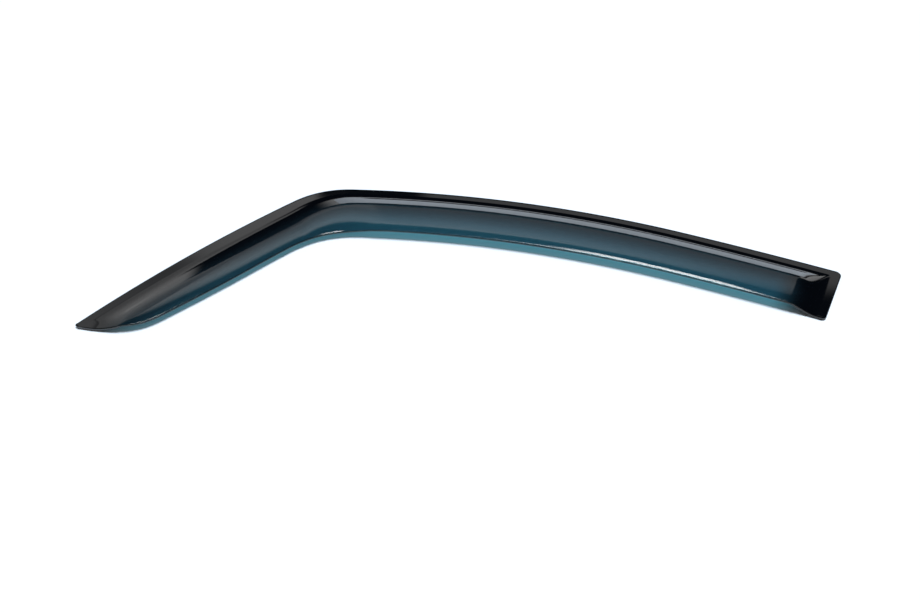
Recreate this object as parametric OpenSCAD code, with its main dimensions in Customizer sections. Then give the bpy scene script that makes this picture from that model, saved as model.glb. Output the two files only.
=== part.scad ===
// Front-door window rain deflector of smoked acrylic, lying on its tape as it is laid on a table.
// The outer edge follows the door frame: up the pillar, round the corner and back along the roof.
// X runs from the pointed front tip to the rear end, Y towards the roof, Z away from the door.
// The origin is on the back of the tape, at the middle of the corner bend.

/* [Outer edge, seen from above] */
// Length of the pillar leg along its outer edge
leg_len = 300; // [250:1:340]
// How far the pillar leg bends over its length, in degrees
leg_bow = 10; // [0:0.5:14]
// Radius of the corner between pillar and roof, at the outer edge
corner_r = 110; // [100:1:150]
// How far the corner turns, in degrees
corner_turn = 38.5; // [30:0.5:44]
// Length of the curved roof run along its outer edge
roof_len = 404; // [330:1:480]
// How far the roof run bends over its length, in degrees
roof_bow = 18; // [10:0.5:22]
// Length of the nearly straight tail behind it
tail_len = 190; // [140:1:240]
// How far the tail bends over its length, in degrees
tail_bow = 2.5; // [0:0.5:6]

/* [Visor] */
// Width of the pillar leg where it starts to widen behind the nose
nose_w = 51; // [49:0.5:55]
// Length over which the leg widens
taper_len = 220; // [180:5:240]
// Width of the deflector at the end of the pillar leg
leg_w = 68.5; // [66:0.5:71]
// Width of the deflector just behind the corner
roof_w = 81; // [79:0.5:84]
// Width of the deflector at the rear end
rear_w = 82; // [80:0.5:86]
// Radius of the corner at the free edge
inner_corner_r = 118; // [90:1:140]
// Thickness of the moulded sheet
wall = 3; // [2:0.1:3.4]
// Height of the visor over the flange along the roof
rise = 11.8; // [9:0.1:15]
// Height of the visor over the flange along the pillar leg
leg_rise = 7.5; // [6:0.1:11]
// How far the visor sags from its crest to its free edge
sag = 1.2; // [0:0.1:2]
// How far the free edge is rolled down
lip_drop = 1.8; // [1:0.1:2.4]
// Width of that rolled edge
lip_w = 12; // [10:0.5:15]

/* [Flange and shoulder] */
// Width of the flat flange that carries the tape
flange_w = 11; // [10.5:0.1:14]
// Width of the flange along the pillar leg
leg_flange_w = 14; // [12:0.1:16]
// Width of the shoulder from the flange up to the visor
shoulder_w = 27; // [24:0.5:31]
// Width of the gentler shoulder of the nose
nose_shoulder_w = 42; // [34:0.5:46]
// Length over which the shoulder narrows behind the tip
shoulder_ease = 250; // [200:5:290]
// Width of the slope that closes the rear end
return_w = 33; // [28:0.5:38]
// Roundness of the edge of the flange, measured across it
flange_edge = 0.8; // [0.3:0.1:1.4]

/* [Ends] */
// Radius of the rounded tip
tip_r = 3.2; // [2.5:0.1:6]
// Length over which the nose widens from the tip
nose_len = 86; // [74:1:100]
// Length of the flat pad at the tip, in front of the nose
nose_pad = 20; // [17:0.5:28]
// Length of the slope from that pad up to the visor
nose_slope = 38; // [28:0.5:46]
// Lean of the rear end against a square cut, in degrees
end_lean = 6; // [0:0.5:10]
// Radius of the upper corner of the rear end
end_top_r = 8; // [5:0.5:12]
// Radius of the lower corner of the rear end
end_low_r = 5; // [3:0.5:8]

/* [Tape] */
// Thickness of the foam tape
tape_t = 1.1; // [0.8:0.1:1.6]
// Width of the foam tape
tape_w = 9.6; // [6:0.1:9.8]
// Distance of the tape from the outer edge of the flange
tape_inset = 0.7; // [0.4:0.1:1.4]
// Distance of the tape's front end from the tip
tape_start = 9; // [7:0.5:16]
// Gap between the two strips of tape
tape_gap = 0.5; // [0.3:0.1:2]

/* [Hidden] */

// Power of the curve of the nose outline
nose_power = 2.8;
// Crispness of the hips where shoulder, rear slope and nose slope meet
hip_power = 2.2;
// Length over which the rulings lean over to the rear end
lean_len = 200;
// Share of a slope that goes into each of its two rounded ends, and the softer one of the nose
blend = 0.15;
nose_blend = 0.5;
// Where the first section lies behind the tip
tip_cut = 0.8;

// Corner lengths at the outer edge and on the softened path that the free edge is parallel to
corner_len = corner_r * corner_turn * PI / 180;
soft_r = inner_corner_r + roof_w;
soft_len = soft_r * corner_turn * PI / 180;
soft_trim = (soft_r - corner_r) * tan(corner_turn / 2);

// The width grows from leg to roof over this length, which starts this far before the corner
widen_len = 1.4 * corner_len;
widen_lead = corner_len / 3;

// Chains of arcs, each as a length and the angle that it turns
leg_rate = leg_bow / leg_len;
roof_rate = roof_bow / roof_len;
outer_chain = [[leg_len, -leg_bow], [corner_len, -corner_turn], [roof_len, -roof_bow], [tail_len, -tail_bow]];
soft_chain = [
    [leg_len - soft_trim, -leg_rate * (leg_len - soft_trim)],
    [soft_len, -corner_turn - (leg_rate + roof_rate) * soft_trim],
    [roof_len - soft_trim, -roof_rate * (roof_len - soft_trim)],
    [tail_len, -tail_bow]
];
corner_end = leg_len + corner_len;
roof_end = corner_end + roof_len;
outer_len = roof_end + tail_len;

// A point and heading after an arc of a given length and turn
function arc_chord(d, turn) = abs(turn) < 0.000001 ? d : 2 * d * 180 / (PI * turn) * sin(turn / 2);
function unit(a) = [cos(a), sin(a)];
function advance(p, a, d, turn) = p + arc_chord(d, turn) * unit(a + turn / 2);

// Point and heading at a distance along a chain of arcs
function along(chain, d, p, a, i = 0) =
    let (arc = chain[i], last = i == len(chain) - 1)
    last || d <= arc[0]
        ? [advance(p, a, d, arc[1] * d / arc[0]), a + arc[1] * d / arc[0]]
        : along(chain, d - arc[0], advance(p, a, arc[0], arc[1]), a + arc[1], i + 1);

// The heading at the tip lays the chord from the tip to the rear end along X
raw_end = along(outer_chain, outer_len, [0, 0], 0)[0];
tip_heading = -atan2(raw_end[1], raw_end[0]);

// The corner's middle on the tape's centre line is the origin
function inward(a) = unit(a - 90);
mid_corner = along(outer_chain, leg_len + corner_len / 2, [0, 0], tip_heading);
tip = -(mid_corner[0] + (tape_inset + tape_w / 2) * inward(mid_corner[1]));

function outer(d) = along(outer_chain, d, tip, tip_heading);
function soft_d(d) =
    d < leg_len ? d * soft_chain[0][0] / leg_len :
    d < corner_end ? soft_chain[0][0] + (d - leg_len) * soft_len / corner_len :
    d < roof_end ? soft_chain[0][0] + soft_len + (d - corner_end) * soft_chain[2][0] / roof_len :
    soft_chain[0][0] + soft_len + soft_chain[2][0] + d - roof_end;
function soft(d) = along(soft_chain, soft_d(d), tip, tip_heading);

// Smooth step from 0 to 1, and a straight slope from 0 to 1 with rounded ends
function step(t) = let (c = max(0, min(1, t))) c * c * (3 - 2 * c);
function slope_start(t, b) = (t < b ? t * t / (2 * b) : t - b / 2) / (1 - b);
function slope(t, b = blend) =
    let (c = max(0, min(1, t)))
    c < 0.5 ? slope_start(c, b) : 1 - slope_start(1 - c, b);

// Rulings lean over towards the rear end
rear = outer(outer_len);
function lean(d) = end_lean * step((d - outer_len + lean_len) / lean_len);
function ruling(a, d) = unit(a - 90 - lean(d));
end_dir = ruling(rear[1], outer_len);

// Share of the change from leg to roof sizes, and the width of the outline across the path
function roof_share(d) = step((d - leg_len + widen_lead) / widen_len);
function leg_width(d) = nose_w + (leg_w - nose_w) * sin(90 * min(1, d / taper_len));
function nose_share(d) =
    d >= nose_len ? 1 : 1 - pow(1 - d / nose_len, nose_power);
function width(d) =
    let (behind_leg = (roof_w - leg_w) * roof_share(d))
    let (along_roof = (rear_w - roof_w) * step((d - leg_len) / (corner_len + roof_len)))
    tip_r + (leg_width(d) + behind_leg + along_roof - tip_r) * nose_share(d);
function round_off(r, d) = d >= r ? 0 : r - sqrt(r * r - (r - d) * (r - d));

// Ends of each ruling, measured from the outer edge, with the corners rounded off
function near_end(d) = round_off(tip_r, d) + round_off(end_top_r, outer_len - d) + flange_edge;
function far_end(d) = width(d) - round_off(end_low_r, outer_len - d) - wall / 2;

// Plan point on the ruling at a distance along the path, at a share between its ends
function plan(d, share) =
    let (o = outer(d), s = soft(d), k = cos(lean(d)))
    let (a = o[0] + near_end(d) / k * ruling(o[1], d))
    let (b = s[0] + far_end(d) / k * ruling(s[1], d))
    a + (b - a) * share;

// Distances of a plan point from the outer edge, the rear end and the tip
function off_edge(p, d) = let (o = outer(d)) (p - o[0]) * inward(o[1]);
function off_end(p) = let (q = p - rear[0]) q[0] * end_dir[1] - q[1] * end_dir[0];

// The lowest of three shares, rounded where they meet
function soft_min(a, b, c) =
    min(a, b, c) <= 0 ? 0 :
    pow(pow(a, -hip_power) + pow(b, -hip_power) + pow(c, -hip_power) - 2, -1 / hip_power);

// Height of the outer face: flat flange, shoulder, sagging visor and rolled free edge
crest = flange_w + shoulder_w;
function flange(d) = leg_flange_w + (flange_w - leg_flange_w) * roof_share(d);
function visor_rise(d) = leg_rise + (rise - leg_rise) * roof_share(d);
function shoulder(d) = nose_shoulder_w + (shoulder_w - nose_shoulder_w) * step(d / shoulder_ease);
function shoulder_blend(d) = nose_blend + (blend - nose_blend) * step(d / shoulder_ease);
function visor_share(p, d) = soft_min(
    slope((off_edge(p, d) - flange(d)) / shoulder(d), shoulder_blend(d)),
    slope((abs(off_end(p)) - flange_w) / return_w),
    slope((norm(p - tip) - nose_pad) / nose_slope)
);
function bulge(u, w) =
    let (face = max(0, min(1, (u - crest) / max(1, w - crest))))
    -sag * face * face - lip_drop * pow(max(0, 1 - (w - u) / lip_w), 3);
function height(p, d) =
    let (h = visor_share(p, d))
    tape_t + wall + h * (visor_rise(d) + bulge(off_edge(p, d), width(d)));

// Sections along the path, closer together at the nose, the corner and the rear end
zone_margin = 20;
nose_zone = nose_pad + nose_slope + zone_margin;
corner_zone = [leg_len - zone_margin, corner_end + zone_margin];
rear_zone = [outer_len - flange_w - return_w - end_top_r, outer_len - end_top_r];
round_steps = 5;
function spread(from, to, n, power = 1) = [for (i = [0:n - 1]) from + (to - from) * pow(i / n, power)];
sections = concat(
    spread(tip_cut, nose_zone, 16, 1.5),
    spread(nose_zone, corner_zone[0], 11),
    spread(corner_zone[0], corner_zone[1], 15),
    spread(corner_zone[1], rear_zone[0], 24),
    spread(rear_zone[0], rear_zone[1], 16),
    [for (i = [0:round_steps]) outer_len - end_top_r * (1 - sin(90 * i / round_steps))]
);

// Shares across a ruling: a few on the flange, most on the shoulder, some on the visor and its lip
full_w = rear_w - flange_edge - wall / 2;
shares = concat(
    spread(0, flange_w - flange_edge, 3),
    spread(flange_w - flange_edge, crest - flange_edge, 10),
    spread(crest - flange_edge, full_w - lip_w, 5),
    spread(full_w - lip_w, full_w, 5),
    [full_w]
) / full_w;

rows = len(sections);
cols = len(shares);
face_top = [for (d = sections) [for (s = shares) let (p = plan(d, s)) [p[0], p[1], height(p, d)]]];

// Unit normal of the outer face at a grid point, from its neighbours
function normal(i, j) =
    let (a = face_top[min(rows - 1, i + 1)][j] - face_top[max(0, i - 1)][j])
    let (b = face_top[i][max(0, j - 1)] - face_top[i][min(cols - 1, j + 1)])
    let (n = cross(a, b))
    n / norm(n);

// Half-round edge between the outer and the inner face, from top to bottom
edge_steps = 4;
function edge(top, n, out, depth) =
    let (middle = top - n * wall / 2)
    [for (k = [1:edge_steps - 1])
        let (t = 180 * k / edge_steps)
        middle + n * wall / 2 * cos(t) + out * depth * sin(t)];

// One closed section: outer face, free edge, inner face, flange edge
function outward(i, j, step_j) =
    let (v = face_top[i][j] - face_top[i][j + step_j], n = normal(i, j))
    let (w = v - n * (v * n))
    w / norm(w);
function section(i) =
    let (normals = [for (j = [0:cols - 1]) normal(i, j)])
    let (last = cols - 1)
    concat(
        face_top[i],
        edge(face_top[i][last], normals[last], outward(i, last, -1), wall / 2),
        [for (j = [last:-1:0]) face_top[i][j] - wall * normals[j]],
        [for (k = [edge_steps - 2:-1:0]) edge(face_top[i][0], normals[0], outward(i, 0, 1), flange_edge)[k]]
    );

// The skin between the sections, in triangles, and a flat cap at each end
ring = 2 * cols + 2 * (edge_steps - 1);
function skin_faces() = [
    for (i = [0:rows - 2], k = [0:ring - 1])
        let (a = i * ring + k, b = i * ring + (k + 1) % ring)
        each [[a, b + ring, b], [a, a + ring, b + ring]]
];
function cap_faces(first) =
    let (upper = [for (j = [0:cols - 1]) first + j], low = first + ring - edge_steps)
    concat(
        [for (j = [0:cols - 2]) each [
            [upper[j], low - j, upper[j + 1]],
            [upper[j + 1], low - j, low - j - 1]
        ]],
        [for (k = [0:edge_steps - 2]) [upper[cols - 1], first + cols + k + 1, first + cols + k]],
        [for (k = [0:edge_steps - 2]) [upper[0], low + k + 1, low + k]]
    );
function flipped(faces) = [for (f = faces) [f[0], f[2], f[1]]];

// Tape outlines
function tape_side(from, to, offset, n) = [
    for (i = [0:n]) let (o = outer(from + (to - from) * i / n)) o[0] + offset * inward(o[1])
];
function reversed(list) = [for (i = [len(list) - 1:-1:0]) list[i]];
tape_steps = 72;

// Moulded shell of smoked acrylic
module visor_shell() {
    color([0.05, 0.11, 0.14, 0.85])
        polyhedron(
            points = [for (i = [0:rows - 1]) each section(i)],
            faces = concat(skin_faces(), flipped(cap_faces(0)), cap_faces((rows - 1) * ring))
        );
}

// Foam tape under the flange, from the nose round the corner to the rear end
module top_tape() {
    start = tape_start;
    stop = outer_len - end_top_r / 2;
    color([0.03, 0.03, 0.035])
        linear_extrude(tape_t)
            polygon(concat(
                tape_side(start, stop, tape_inset, tape_steps),
                reversed(tape_side(start, stop, tape_inset + tape_w, tape_steps))
            ));
}

// Foam tape under the flange of the rear end
module end_tape() {
    back = [-end_dir[1], end_dir[0]];
    from = (tape_inset + tape_w + tape_gap) / cos(end_lean) + tape_w * tan(end_lean);
    to = (rear_w - end_low_r) / cos(end_lean);
    color([0.03, 0.03, 0.035])
        linear_extrude(tape_t)
            polygon([
                for (q = [[from, tape_inset], [to, tape_inset], [to, tape_inset + tape_w], [from, tape_inset + tape_w]])
                    rear[0] + q[0] * end_dir - q[1] * back
            ]);
}

visor_shell();
top_tape();
end_tape();
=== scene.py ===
"""Smoked acrylic rain deflector for a front side window, lying on a pale floor in soft light."""
import math

import bpy
import numpy as np
from mathutils import Matrix, Vector


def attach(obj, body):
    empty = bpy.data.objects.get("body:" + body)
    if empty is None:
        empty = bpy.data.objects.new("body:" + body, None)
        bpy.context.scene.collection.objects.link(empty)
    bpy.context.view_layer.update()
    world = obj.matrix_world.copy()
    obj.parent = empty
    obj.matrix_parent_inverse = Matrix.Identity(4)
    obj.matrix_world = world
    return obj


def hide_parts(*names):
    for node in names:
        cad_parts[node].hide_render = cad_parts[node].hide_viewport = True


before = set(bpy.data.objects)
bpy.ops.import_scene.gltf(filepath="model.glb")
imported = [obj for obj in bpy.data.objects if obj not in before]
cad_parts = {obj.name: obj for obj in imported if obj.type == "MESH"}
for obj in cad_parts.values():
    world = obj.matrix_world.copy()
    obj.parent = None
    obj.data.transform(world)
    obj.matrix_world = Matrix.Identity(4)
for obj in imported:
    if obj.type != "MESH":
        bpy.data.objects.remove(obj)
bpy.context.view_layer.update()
MM = 0.001

# Outer edge, seen from above, in millimetres and degrees
LEG_LEN = 300
LEG_BOW = 10
CORNER_R = 110
CORNER_TURN = 38.5
ROOF_LEN = 404
ROOF_BOW = 18
TAIL_LEN = 190
TAIL_BOW = 2.5

# Visor, in millimetres
NOSE_W = 51
TAPER_LEN = 220
LEG_W = 68.5
ROOF_W = 81
REAR_W = 82
INNER_CORNER_R = 118
WALL = 3
RISE = 11.8
LEG_RISE = 7.5
SAG = 1.2
LIP_DROP = 1.8
LEG_LIP_DROP = 0.6
LIP_W = 12
# Length behind the leg over which the visor climbs to its full height
CLIMB = 100

# Flange and shoulder, in millimetres, and the rounded shares at the foot and the top of the shoulder
FLANGE_W = 9
REAR_FLANGE_W = 11
LEG_FLANGE_W = 14
SHOULDER_W = 31
NOSE_SHOULDER_W = 35
SHOULDER_EASE = 250
RETURN_W = 33
LOW_BLEND = 0.3
HIGH_BLEND = 0.15
NOSE_BLEND = 0.5
FLANGE_EDGE = 0.8
TAPE_T = 1.1
TAPE_W = 9.6
TAPE_INSET = 0.7

# Ends, in millimetres, degrees and plain powers
TIP_R = 3.2
TIP_CUT = 0.8
NOSE_LEN = 86
NOSE_POWER = 2.8
NOSE_PAD = 20
NOSE_SLOPE = 38
HIP_POWER = 2.2
END_LEAN = 6
LEAN_LEN = 200
END_TOP_R = 8
END_LOW_R = 5
# Shares of the visor's height that are smaller than this count as none
LEAST_SHARE = 1e-4
# How far the sheet stays inside that outline
INSET = 0.15

# Clearness of the sheet at the crest and at the rear, and what the lip, the rims and the leg lose of it, as
# shares of its clearest part, with the lengths in millimetres over which it changes. The sheet is made less
# clear at the crest and at the rear as painted shade, where the floor under it lies in shade.
CREST_SHADED_CLEAR = 0.38
FACE_EASE = 20
LIP_LOSS = 0.33
LIP_LOSS_W = LIP_W + 4
LIP_LOSS_EASE = 8
RIM_LOSS = 0.75
LEG_LOSS = 0.1
REAR_SHADED_CLEAR = 0.3
REAR_SHADE_START = 25
REAR_SHADE_EASE = 45

# Mesh: rounds, borders of its denser zones and welding distance in millimetres, and lines in each round
END_ROUND = 0.8
ROUND_LINES = 6
TIP_ZONE = 20
NOSE_ZONE = 80
CORNER_MARGIN = 20
CREST_MARGIN = 2
SHORT_RULING = 12
WELD = 0.003

CORNER_LEN = math.radians(CORNER_TURN) * CORNER_R
SOFT_R = INNER_CORNER_R + ROOF_W
SOFT_LEN = math.radians(CORNER_TURN) * SOFT_R
SOFT_TRIM = (SOFT_R - CORNER_R) * math.tan(math.radians(CORNER_TURN / 2))
LEG_RATE = LEG_BOW / LEG_LEN
ROOF_RATE = ROOF_BOW / ROOF_LEN
OUTER_CHAIN = ((LEG_LEN, LEG_BOW), (CORNER_LEN, CORNER_TURN), (ROOF_LEN, ROOF_BOW), (TAIL_LEN, TAIL_BOW))
SOFT_CHAIN = (
    (LEG_LEN - SOFT_TRIM, LEG_RATE * (LEG_LEN - SOFT_TRIM)),
    (SOFT_LEN, CORNER_TURN + (LEG_RATE + ROOF_RATE) * SOFT_TRIM),
    (ROOF_LEN - SOFT_TRIM, ROOF_RATE * (ROOF_LEN - SOFT_TRIM)),
    (TAIL_LEN, TAIL_BOW),
)
CORNER_END = LEG_LEN + CORNER_LEN
OUTER_LEN = CORNER_END + ROOF_LEN + TAIL_LEN
WIDEN_LEN = 1.4 * CORNER_LEN
WIDEN_LEAD = CORNER_LEN / 3
CREST = FLANGE_W + SHOULDER_W
TAPE_MIDDLE = TAPE_INSET + TAPE_W / 2
LAST = OUTER_LEN - INSET


def step(t):
    """Smooth step from 0 to 1."""
    t = np.clip(t, 0, 1)
    return t * t * (3 - 2 * t)


def slope(t, low=LOW_BLEND, high=HIGH_BLEND):
    """Straight slope from 0 to 1 with rounded ends, each of them a share of its length."""
    t = np.clip(t, 0, 1)
    run = 1 - (low + high) / 2
    up = np.where(t < low, t * t / (2 * low), t - low / 2) / run
    down = 1 - (1 - t) ** 2 / (2 * high) / run
    return np.where(t < 1 - high, up, down)


def along(chain, distances, start, heading):
    """Points and headings at distances along a chain of arcs that turn to the right."""
    points = np.zeros((len(distances), 2))
    headings = np.zeros(len(distances))
    here = np.array(start, float)
    passed = 0
    for number, (length, turn) in enumerate(chain):
        last = number == len(chain) - 1
        inside = (distances >= passed) & ((distances <= passed + length) | last)
        run = distances[inside] - passed
        bend = np.radians(turn) * run / length
        chord = run * np.sinc(bend / 2 / np.pi)
        middle = heading - bend / 2
        points[inside] = here + chord[:, None] * np.c_[np.cos(middle), np.sin(middle)]
        headings[inside] = heading - bend
        whole = math.radians(turn)
        reach = length * math.sin(whole / 2) / (whole / 2)
        here = here + reach * np.array([math.cos(heading - whole / 2), math.sin(heading - whole / 2)])
        heading -= whole
        passed += length
    return points, headings


def inward(headings):
    """Unit vectors square to the path, towards the free edge."""
    return np.c_[np.sin(headings), -np.cos(headings)]


def path_start():
    """Tip and heading there, with the corner's middle on the tape's centre line as the origin."""
    raw_end = along(OUTER_CHAIN, np.array([OUTER_LEN]), (0, 0), 0.0)[0][0]
    heading = -math.atan2(raw_end[1], raw_end[0])
    middle, turned = along(OUTER_CHAIN, np.array([LEG_LEN + CORNER_LEN / 2]), (0, 0), heading)
    return -(middle + TAPE_MIDDLE * inward(turned))[0], heading


TIP, TIP_HEADING = path_start()


def soft_distance(d):
    """Distance along the softened path that belongs to a distance along the outer edge."""
    marks = (0, LEG_LEN, CORNER_END, CORNER_END + ROOF_LEN, OUTER_LEN)
    return np.interp(d, marks, np.r_[0, np.cumsum([length for length, _ in SOFT_CHAIN])])


def roof_share(d):
    """Share of the change from leg to roof sizes."""
    return step((d - LEG_LEN + WIDEN_LEAD) / WIDEN_LEN)


def climbed(d):
    """Share of the visor's climb from the leg's height to the roof's, as a column."""
    return step((d - LEG_LEN) / CLIMB)[:, None]


def width(d):
    """Width of the outline across the path."""
    leg = NOSE_W + (LEG_W - NOSE_W) * np.sin(np.pi / 2 * np.minimum(1, d / TAPER_LEN))
    behind_leg = (ROOF_W - LEG_W) * roof_share(d)
    along_roof = (REAR_W - ROOF_W) * step((d - LEG_LEN) / (CORNER_LEN + ROOF_LEN))
    share = 1 - (1 - np.minimum(1, d / NOSE_LEN)) ** NOSE_POWER
    return TIP_R + (leg + behind_leg + along_roof - TIP_R) * share


def round_off(radius, d):
    """How far a rounded corner pulls the outline in at a distance from its end."""
    left = np.clip(radius - d, 0, radius)
    return radius - np.sqrt(radius * radius - left * left)


def soft_min(*parts):
    """The lowest of several shares, rounded where they meet."""
    parts = [np.maximum(part, LEAST_SHARE) for part in parts]
    total = sum(part ** -HIP_POWER for part in parts) - (len(parts) - 1)
    low = total ** (-1 / HIP_POWER)
    return np.where(low < 2 * LEAST_SHARE, 0, low)


def outer_face(d, place):
    """Outer face along rulings at distances d, at places from 0 to 1 across each of them.

    Gives the points, the rulings' lengths, the share of the visor's height and the share of clear face,
    which rises from the painted shade at the crest towards the free edge and drops at the lip.
    """
    outer, headings = along(OUTER_CHAIN, d, TIP, TIP_HEADING)
    soft, soft_headings = along(SOFT_CHAIN, soft_distance(d), TIP, TIP_HEADING)
    lean = math.radians(END_LEAN) * step((d - OUTER_LEN + LEAN_LEN) / LEAN_LEN)
    to_end = OUTER_LEN - d
    near = round_off(TIP_R, d) + round_off(END_TOP_R, to_end) + INSET
    far = width(d) - round_off(END_LOW_R, to_end) - INSET
    a = outer + (near / np.cos(lean))[:, None] * inward(headings - lean)
    b = soft + (far / np.cos(lean))[:, None] * inward(soft_headings - lean)
    plan = a[:, None] + (b - a)[:, None] * place[:, :, None]
    off_edge = np.einsum("ijk,ik->ij", plan - outer[:, None], inward(headings))
    rear, rear_heading = along(OUTER_CHAIN, np.array([OUTER_LEN]), TIP, TIP_HEADING)
    end_line = inward(rear_heading - math.radians(END_LEAN))[0]
    off_end = np.abs((plan - rear)[..., 0] * end_line[1] - (plan - rear)[..., 1] * end_line[0])
    off_tip = np.hypot(*np.moveaxis(plan - TIP, 2, 0))
    ease_in = step(d / SHOULDER_EASE)[:, None]
    shoulder = NOSE_SHOULDER_W + (SHOULDER_W - NOSE_SHOULDER_W) * ease_in
    flange = FLANGE_W + (LEG_FLANGE_W - FLANGE_W) * ease_in * (1 - roof_share(d)[:, None])
    climb = climbed(d)
    rise = LEG_RISE + (RISE - LEG_RISE) * climb
    low_blend = NOSE_BLEND + (LOW_BLEND - NOSE_BLEND) * ease_in
    high_blend = NOSE_BLEND + (HIGH_BLEND - NOSE_BLEND) * ease_in
    visor = soft_min(
        slope((off_edge - flange) / shoulder, low_blend, high_blend),
        slope((off_end - REAR_FLANGE_W) / RETURN_W),
        slope((off_tip - NOSE_PAD) / NOSE_SLOPE),
    )
    full = width(d)[:, None]
    face = np.clip((off_edge - CREST) / np.maximum(1, full - CREST), 0, 1)
    lip = np.maximum(0, 1 - (full - off_edge) / LIP_W) ** 3
    lip_drop = LEG_LIP_DROP + (LIP_DROP - LEG_LIP_DROP) * climb
    height = TAPE_T + WALL + visor * (rise - SAG * face ** 2 - lip_drop * lip)
    lip_loss = LIP_LOSS * step((LIP_LOSS_W - full + off_edge) / LIP_LOSS_EASE)
    over_face = np.clip((off_edge - CREST) / FACE_EASE, 0, 1) * (1 - lip_loss)
    return np.dstack([plan, height]), np.hypot(*(b - a).T), visor, over_face


def clear_share_with_painted_shade(d, raised, over_face, rim):
    """Share of the sheet that is clear at each point, with painted shade in it: less clear at the crest and
    on the rear slope, where the floor under the sheet lies in shade. The flange and the rims are dense.
    """
    # Painted shade: the sheet is drawn less clear from the free edge towards the crest
    face = np.sqrt(raised * (CREST_SHADED_CLEAR + (1 - CREST_SHADED_CLEAR) * over_face))
    # Painted shade on the rear slope, where the end shades the floor under the sheet
    before_slope = step((OUTER_LEN - d - REAR_SHADE_START) / REAR_SHADE_EASE)[:, None]
    rear = REAR_SHADED_CLEAR + (1 - REAR_SHADED_CLEAR) * before_slope
    leg = 1 - LEG_LOSS * (1 - climbed(d))
    return face * (1 - RIM_LOSS * np.sqrt(rim)) * rear * leg


# Steps of the quarter round at every edge, from the rim inwards
ROUND = 1 - np.cos(np.linspace(0, np.pi / 2, ROUND_LINES))


def ruling_distances():
    """Where the rulings stand along the outer edge, closer together where the form changes fast."""
    rear_zone = OUTER_LEN - REAR_FLANGE_W - RETURN_W - END_TOP_R
    corner_start = LEG_LEN - CORNER_MARGIN
    corner_end = CORNER_END + CORNER_MARGIN
    # Start, end and number of rulings of each stretch
    stretches = (
        (TIP_CUT + END_ROUND, TIP_ZONE, 16),
        (TIP_ZONE, NOSE_ZONE, 34),
        (NOSE_ZONE, corner_start, 66),
        (corner_start, corner_end, 56),
        (corner_end, rear_zone, 180),
        (rear_zone, OUTER_LEN - END_TOP_R, 40),
        (OUTER_LEN - END_TOP_R, LAST - END_ROUND, 12),
    )
    runs = [np.linspace(a, b, n, endpoint=False) for a, b, n in stretches]
    return np.concatenate([TIP_CUT + END_ROUND * ROUND[:-1], *runs, LAST - END_ROUND * ROUND[::-1]])


def places_across(lengths):
    """Places from 0 to 1 across each ruling, with a quarter round of fixed size at both edges."""
    foot = FLANGE_W - CREST_MARGIN
    top = CREST + CREST_MARGIN
    lip = ROOF_W - LIP_W - CREST_MARGIN
    # Start, end and number of places of each zone
    zones = (
        (FLANGE_EDGE, foot, 4),
        (foot, top, 34),
        (top, lip, 14),
        (lip, ROOF_W - WALL / 2, 14),
    )
    inner = np.concatenate([np.linspace(a, b, n, endpoint=False) for a, b, n in zones])
    inner = (inner - inner[0]) / (ROOF_W - WALL / 2 - inner[0])
    shrink = np.minimum(1, lengths / SHORT_RULING)[:, None]
    near = FLANGE_EDGE * shrink
    far = WALL / 2 * shrink
    length = lengths[:, None]
    place = np.hstack([near * ROUND[:-1], near + (length - near - far) * inner, length - far * ROUND[::-1]])
    rim = np.maximum(1 - np.minimum(place / near, (length - place) / far), 0)
    return place / length, rim


def grid(name, across, down):
    """A primitive grid with a vertex for every place, and each vertex's row and column."""
    bpy.ops.mesh.primitive_grid_add(x_subdivisions=across - 1, y_subdivisions=down - 1, size=2)
    obj = bpy.context.object
    obj.name = name
    flat = np.zeros(len(obj.data.vertices) * 3)
    obj.data.vertices.foreach_get("co", flat)
    flat = flat.reshape(-1, 3)
    column = np.rint((flat[:, 0] + 1) / 2 * (across - 1)).astype(int)
    row = np.rint((flat[:, 1] + 1) / 2 * (down - 1)).astype(int)
    return obj, row, column


def deselect():
    bpy.ops.object.select_all(action="DESELECT")


def lofted_shell():
    """The moulded sheet: outer and inner face as two grids that meet in a rounded rim all round."""
    d = ruling_distances()
    lengths = outer_face(d, np.zeros((len(d), 1)))[1]
    place, rim = places_across(lengths)
    outer, _, raised, over_face = outer_face(d, place)
    # Shares of clear sheet, with painted shade at the crest and on the rear slope
    shares = clear_share_with_painted_shade(d, raised, over_face, rim)
    down = np.gradient(outer, axis=0)
    across = np.gradient(outer, axis=1)
    normal = np.cross(across, down)
    normal /= np.linalg.norm(normal, axis=2, keepdims=True)
    end_rim = np.maximum(1 - np.minimum(d - TIP_CUT, LAST - d) / END_ROUND, 0)[:, None]
    half = WALL / 2 * np.sqrt(np.maximum(0, (1 - rim ** 2) * (1 - end_rim ** 2)))[:, :, None]
    middle = outer - normal * WALL / 2
    deselect()
    halves = []
    for name, face in (("visor", middle + normal * half), ("visor_inside", middle - normal * half)):
        obj, row, column = grid(name, place.shape[1], len(d))
        obj.data.vertices.foreach_set("co", (face[row, column] * MM).ravel())
        # The clear attribute takes the painted shade to the material
        clear = obj.data.attributes.new("clear", "FLOAT", "POINT")
        clear.data.foreach_set("value", shares[row, column])
        halves.append(obj)
    bpy.ops.object.mode_set(mode="EDIT")
    bpy.ops.mesh.select_all(action="SELECT")
    bpy.ops.mesh.flip_normals()
    bpy.ops.object.mode_set(mode="OBJECT")
    halves[0].select_set(True)
    bpy.context.view_layer.objects.active = halves[0]
    bpy.ops.object.join()
    bpy.ops.object.mode_set(mode="EDIT")
    bpy.ops.mesh.select_all(action="SELECT")
    bpy.ops.mesh.remove_doubles(threshold=WELD * MM)
    bpy.ops.mesh.normals_make_consistent(inside=False)
    bpy.ops.object.mode_set(mode="OBJECT")
    bpy.ops.object.shade_smooth()
    return halves[0]


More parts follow.
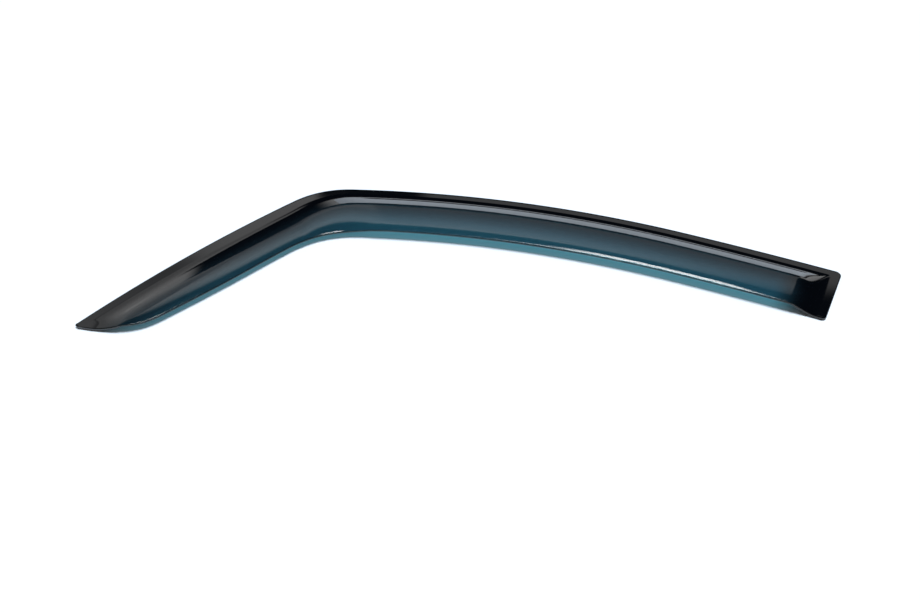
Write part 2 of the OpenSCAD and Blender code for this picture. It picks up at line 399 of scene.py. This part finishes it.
class Wire:
    """A shader socket. Sums and products of wires add Math nodes to their material."""

    def __init__(self, tree, socket):
        self.tree = tree
        self.socket = socket

    def maths(self, operation, first, second):
        return node(self.tree, "ShaderNodeMath", {"operation": operation}, {0: first, 1: second})

    def __add__(self, other):
        return self.maths("ADD", self, other)

    def __sub__(self, other):
        return self.maths("SUBTRACT", self, other)

    def __rsub__(self, other):
        return self.maths("SUBTRACT", other, self)

    def __mul__(self, other):
        return self.maths("MULTIPLY", self, other)

    def __truediv__(self, other):
        return self.maths("DIVIDE", self, other)

    def __pow__(self, other):
        return self.maths("POWER", self, other)

    __radd__ = __add__
    __rmul__ = __mul__


def node(tree, kind, settings=None, inputs=None, output=0):
    """Adds a node, sets it, feeds its sockets with numbers, colours or wires, and returns one output."""
    made = tree.nodes.new(kind)
    for name, value in (settings or {}).items():
        setattr(made, name, value)
    for name, value in (inputs or {}).items():
        if isinstance(value, Wire):
            tree.links.new(value.socket, made.inputs[name])
        else:
            made.inputs[name].default_value = value
    return Wire(tree, made.outputs[output]) if len(made.outputs) else None


def blank_material(name):
    material = bpy.data.materials.new(name)
    material.use_nodes = True
    material.node_tree.nodes.clear()
    return material, material.node_tree


def finish_material(tree, shader):
    node(tree, "ShaderNodeOutputMaterial", inputs={"Surface": shader})


# Acrylic: near black where the clear attribute is low, on the flange and in the painted shade, a faint
# painted blue light where it is high, and the colour of light that passes it
DARK_VEIL = (0.0015, 0.002, 0.003, 1)
PAINTED_BLUE_VEIL = (0.022, 0.04, 0.057, 1)
VEIL_POWER = 3.0
PASSED_LIGHT = (0.44, 0.855, 0.925, 1)
# Share of light that passes where the sheet is clearest, and how much of it is lost at a glancing angle
PASSED_SHARE = 0.51
GLANCING_LOSS = 0.4
GLANCING_POWER = 5.0


def smoked_acrylic():
    """Polished acrylic, smoked blue-green. It is drawn denser towards the flange: on the flange for the tape
    under it, towards the crest and on the rear slope as painted shade, with a faint painted blue light where
    it is clear.
    """
    material, tree = blank_material("smoked_acrylic")
    place = node(tree, "ShaderNodeTexCoord", output="Object")
    waves = node(tree, "ShaderNodeTexNoise", inputs={"Vector": place, "Scale": 9.0, "Detail": 1.0})
    haze = node(tree, "ShaderNodeTexNoise", inputs={"Vector": place, "Scale": 60.0, "Detail": 4.0})
    bump = node(tree, "ShaderNodeBump", inputs={"Strength": 0.2, "Distance": 0.0004, "Height": waves})
    # The clear attribute holds painted shade: low towards the crest and on the rear slope
    clear = node(tree, "ShaderNodeAttribute", {"attribute_name": "clear"}, output="Fac")
    # Painted colour: near black where the sheet is dense or in painted shade, a faint painted blue light
    # where it is clear
    veil = node(tree, "ShaderNodeMix", {"data_type": "RGBA"}, {
        "Factor": clear ** VEIL_POWER, 6: DARK_VEIL, 7: PAINTED_BLUE_VEIL}, output=2)
    gloss = node(tree, "ShaderNodeBsdfPrincipled", inputs={
        "Base Color": veil,
        "Roughness": 0.02 + haze * 0.03,
        "IOR": 1.7,
        "Normal": bump,
    })
    glass = node(tree, "ShaderNodeBsdfTransparent", inputs={"Color": PASSED_LIGHT})
    facing = node(tree, "ShaderNodeLayerWeight", inputs={"Blend": 0.5}, output="Facing")
    # Less light passes where clear is low, which paints shade into what is seen through the sheet
    body = 1 - clear * (PASSED_SHARE - (facing ** GLANCING_POWER) * GLANCING_LOSS)
    finish_material(tree, node(tree, "ShaderNodeMixShader", inputs={0: body, 1: glass, 2: gloss}))
    return material


def foam_tape():
    """Black closed-cell foam with fine cells."""
    material, tree = blank_material("foam_tape")
    place = node(tree, "ShaderNodeTexCoord", output="Object")
    cells = node(tree, "ShaderNodeTexVoronoi", inputs={"Vector": place, "Scale": 1400.0})
    cloud = node(tree, "ShaderNodeTexNoise", inputs={"Vector": place, "Scale": 90.0, "Detail": 3.0})
    tint = node(tree, "ShaderNodeMix", {"data_type": "RGBA"}, {
        "Factor": cloud, 6: (0.012, 0.012, 0.013, 1), 7: (0.024, 0.024, 0.026, 1)}, output=2)
    bump = node(tree, "ShaderNodeBump", inputs={"Strength": 0.5, "Distance": 0.0002, "Height": cells})
    shader = node(tree, "ShaderNodeBsdfPrincipled", inputs={
        "Base Color": tint, "Roughness": 0.82 + cloud * 0.12, "Normal": bump})
    finish_material(tree, shader)
    return material


def dress(obj, material):
    obj.data.materials.clear()
    obj.data.materials.append(material)


def paper_floor():
    """A wide sheet of white paper under the part."""
    deselect()
    bpy.ops.mesh.primitive_plane_add(size=14, location=(0.15, -0.1, 0))
    floor = bpy.context.object
    floor.name = "paper_floor"
    material, tree = blank_material("white_paper")
    place = node(tree, "ShaderNodeTexCoord", output="Object")
    grain = node(tree, "ShaderNodeTexNoise", inputs={"Vector": place, "Scale": 900.0, "Detail": 2.0})
    shader = node(tree, "ShaderNodeBsdfPrincipled", inputs={
        "Base Color": (0.95, 0.95, 0.955, 1), "Roughness": 0.75 + grain * 0.1, "Specular IOR Level": 0.1})
    finish_material(tree, shader)
    dress(floor, material)


# Camera: the photograph's angle, worked out from the set lying on one floor
CAMERA_PLACE = (-0.0108, -1.0546, 0.9403)
CAMERA_DOWN = 47.1265
CAMERA_YAW = -10.087
CAMERA_ROLL = 3.507
CAMERA_LENS = 45.0


def photo_camera():
    data = bpy.data.cameras.new("photo_camera")
    data.lens = CAMERA_LENS
    data.sensor_width = 36.0
    data.clip_start = 0.01
    camera = bpy.data.objects.new("photo_camera", data)
    bpy.context.scene.collection.objects.link(camera)
    turn = Matrix.Rotation(math.radians(CAMERA_YAW), 4, "Z")
    turn = turn @ Matrix.Rotation(math.radians(90 - CAMERA_DOWN), 4, "X")
    turn = turn @ Matrix.Rotation(math.radians(CAMERA_ROLL), 4, "Z")
    camera.matrix_world = Matrix.Translation(CAMERA_PLACE) @ turn
    bpy.context.scene.camera = camera


# Lamp, and the direction it shines from: to the right, ahead and up, as the camera stands
LAMP_ENERGY = 3.47
LAMP_COLOUR = (0.88, 1.0, 1.13)
LAMP_ANGLE = 24
LAMP_FROM = (1.5, 1.8, 15.6)


def key_light():
    """One soft lamp high over the part, a little behind it and to the right. Gloss doesn't mirror it."""
    data = bpy.data.lights.new("key_light", "SUN")
    data.energy = LAMP_ENERGY
    data.color = LAMP_COLOUR
    data.angle = math.radians(LAMP_ANGLE)
    lamp = bpy.data.objects.new("key_light", data)
    bpy.context.scene.collection.objects.link(lamp)
    lamp.visible_glossy = False
    lamp.rotation_mode = "QUATERNION"
    shines_from = Matrix.Rotation(math.radians(CAMERA_YAW), 3, "Z") @ Vector(LAMP_FROM)
    lamp.rotation_quaternion = shines_from.to_track_quat("Z", "Y")


# Studio that the gloss mirrors, as directions from the part. A side lies to the right and a reach straight
# ahead, both per unit of height. A bearing turns to the right from straight ahead, in radians. An up is the
# height of a direction of length 1. A pair is the start and the end of a soft edge, or the light at both.
LOWEST_UP = 0.02

# Large softbox behind the table, with its glow, a brighter left end, a dark notch and a gap on the right
CEILING_FAR = (1.138, 1.126)
CEILING_NEAR = (0.7, 0.86)
CEILING_SKEW = (0.0, 0.25)
CEILING_SKEW_SIDE = (-0.05, 0.05)
GLOW_REACH = (1.06, 0.82)
GLOW_LIGHT = (0.5, 1.7)
GLOW_ROUNDING = 0.17
DIM_LEFT_SIDE = (-0.28, -0.36)
DIM_LEFT_LIGHT = (1.0, 0.5)
LEFT_END_SIDE = (-0.12, -0.2)
LEFT_END_REACH = (0.965, 1.0)
LEFT_END_LIGHT = 0.33
NOTCH_SIDES = ((-0.2, -0.185), (-0.04, -0.07))
NOTCH_REACH = (1.095, 1.11)
RIGHT_GAP_SIDE = (0.405, 0.425)
RIGHT_GAP_REACH = (1.01, 0.98)

# Pale walls beyond the softbox, and a pale horizon
LEFT_WALL_BEARINGS = ((-2.6, -2.2), (-0.45, -0.475))
LEFT_WALL_LEAN_UP = (0.3, 0.52)
LEFT_WALL_LEAN = (0.0, 0.2)
LEFT_WALL_FOOT = (-0.1, 0.05)
LEFT_WALL_FADE = (0.25, 0.6)
LEFT_WALL_LIGHT = (0.82, 0.55)
RIGHT_WALL_BEARINGS = ((0.42, 0.5), (0.9, 0.82))
RIGHT_WALL_UPS = ((0.14, 0.2), (0.5, 0.42))
RIGHT_WALL_LIGHT = 1.2
HORIZON_UP = (0.13, -0.02)
HORIZON_LIGHT = 0.75

# Narrow bright panel over the table, seen in the rolled edge, and a wide one behind the camera
PANEL_SKEW = 0.2
PANEL_SIDES = ((-0.047, -0.017), (0.075, 0.045))
PANEL_REACHES = ((-0.11, -0.05), (0.38, 0.25))
PANEL_LIGHT = 18.0
FRONT_BOX_SIDES = ((-1.3, -1.1), (1.3, 1.1))
FRONT_BOX_REACHES = ((-2.4, -2.2), (-0.9, -1.1))
FRONT_BOX_LIGHT = 0.9

# Light on rays that are neither seen, mirrored nor passed through
FILL_LIGHT = 0.12


def ease(value, ends, results=(0.0, 1.0)):
    """A smooth change of one value from one result to another between two ends."""
    return node(value.tree, "ShaderNodeMapRange", {"interpolation_type": "SMOOTHSTEP"}, {
        0: value, 1: ends[0], 2: ends[1], 3: results[0], 4: results[1]})


def between(value, edges):
    """1 between two soft edges and 0 outside them."""
    return ease(value, edges[0]) * ease(value, edges[1])


def ceiling_light(side, reach):
    """Light of the large softbox behind the table."""
    off_middle = node(side.tree, "ShaderNodeMath", {"operation": "ABSOLUTE"}, {0: side})
    glow = ease(reach + off_middle * GLOW_ROUNDING, GLOW_REACH, GLOW_LIGHT)
    glow = glow * ease(side, DIM_LEFT_SIDE, DIM_LEFT_LIGHT)
    left_end = ease(side, LEFT_END_SIDE) * ease(reach, LEFT_END_REACH) * LEFT_END_LIGHT
    notch = between(side, NOTCH_SIDES) * ease(reach, NOTCH_REACH)
    right_gap = ease(side, RIGHT_GAP_SIDE) * ease(reach, RIGHT_GAP_REACH)
    near_edge = ease(reach - side * ease(side, CEILING_SKEW_SIDE, CEILING_SKEW), CEILING_NEAR)
    return (glow + left_end) * (1 - notch) * (1 - right_gap) * near_edge


def wall_light(bearing, up):
    """Light of the walls beyond the softbox and of the horizon."""
    wall_end, wall_edge = LEFT_WALL_BEARINGS
    left = ease(bearing - ease(up, LEFT_WALL_LEAN_UP, LEFT_WALL_LEAN), wall_edge) * ease(bearing, wall_end)
    left = left * ease(up, LEFT_WALL_FOOT) * ease(up, LEFT_WALL_FADE, LEFT_WALL_LIGHT)
    right = between(bearing, RIGHT_WALL_BEARINGS) * between(up, RIGHT_WALL_UPS) * RIGHT_WALL_LIGHT
    return left + right + ease(up, HORIZON_UP) * HORIZON_LIGHT


def panel_light(side, reach):
    """Light of the two bright panels."""
    over_table = between(side - reach * PANEL_SKEW, PANEL_SIDES) * between(reach, PANEL_REACHES)
    in_front = between(side, FRONT_BOX_SIDES) * between(reach, FRONT_BOX_REACHES)
    return over_table * PANEL_LIGHT + in_front * FRONT_BOX_LIGHT


def studio_world():
    """White to the eye and through clear plastic. Gloss mirrors softboxes and dark gaps between them."""
    world = bpy.data.worlds.new("studio")
    world.use_nodes = True
    tree = world.node_tree
    tree.nodes.clear()
    direction = node(tree, "ShaderNodeTexCoord", output="Generated")
    turned = node(tree, "ShaderNodeVectorRotate", {"rotation_type": "Z_AXIS"}, {
        "Vector": direction, "Angle": math.radians(-CAMERA_YAW)})
    right, ahead, up = (node(tree, "ShaderNodeSeparateXYZ", inputs={0: turned}, output=axis)
                        for axis in range(3))
    above = node(tree, "ShaderNodeMath", {"operation": "MAXIMUM"}, {0: up, 1: LOWEST_UP})
    side = right / above
    reach = ahead / above
    bearing = node(tree, "ShaderNodeMath", {"operation": "ARCTAN2"}, {0: right, 1: ahead})
    inside = ease(reach, CEILING_FAR)
    mirrored = inside * ceiling_light(side, reach) + (1 - inside) * wall_light(bearing, up)
    mirrored = mirrored + panel_light(side, reach)
    eye, gloss, through = (node(tree, "ShaderNodeLightPath", output=kind)
                           for kind in ("Is Camera Ray", "Is Glossy Ray", "Is Transmission Ray"))
    strength = eye + through + gloss * mirrored + (1 - eye - through - gloss) * FILL_LIGHT
    shader = node(tree, "ShaderNodeBackground", inputs={"Color": (1, 1, 1, 1), "Strength": strength})
    node(tree, "ShaderNodeOutputWorld", inputs={"Surface": shader})
    bpy.context.scene.world = world


photo_camera()
key_light()
studio_world()
paper_floor()

shell = lofted_shell()
dress(shell, smoked_acrylic())
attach(shell, "root")
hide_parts("visor_shell")

tape_material = foam_tape()
for tape in ("top_tape", "end_tape"):
    dress(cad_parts[tape], tape_material)

scene = bpy.context.scene
scene.view_settings.view_transform = "Standard"
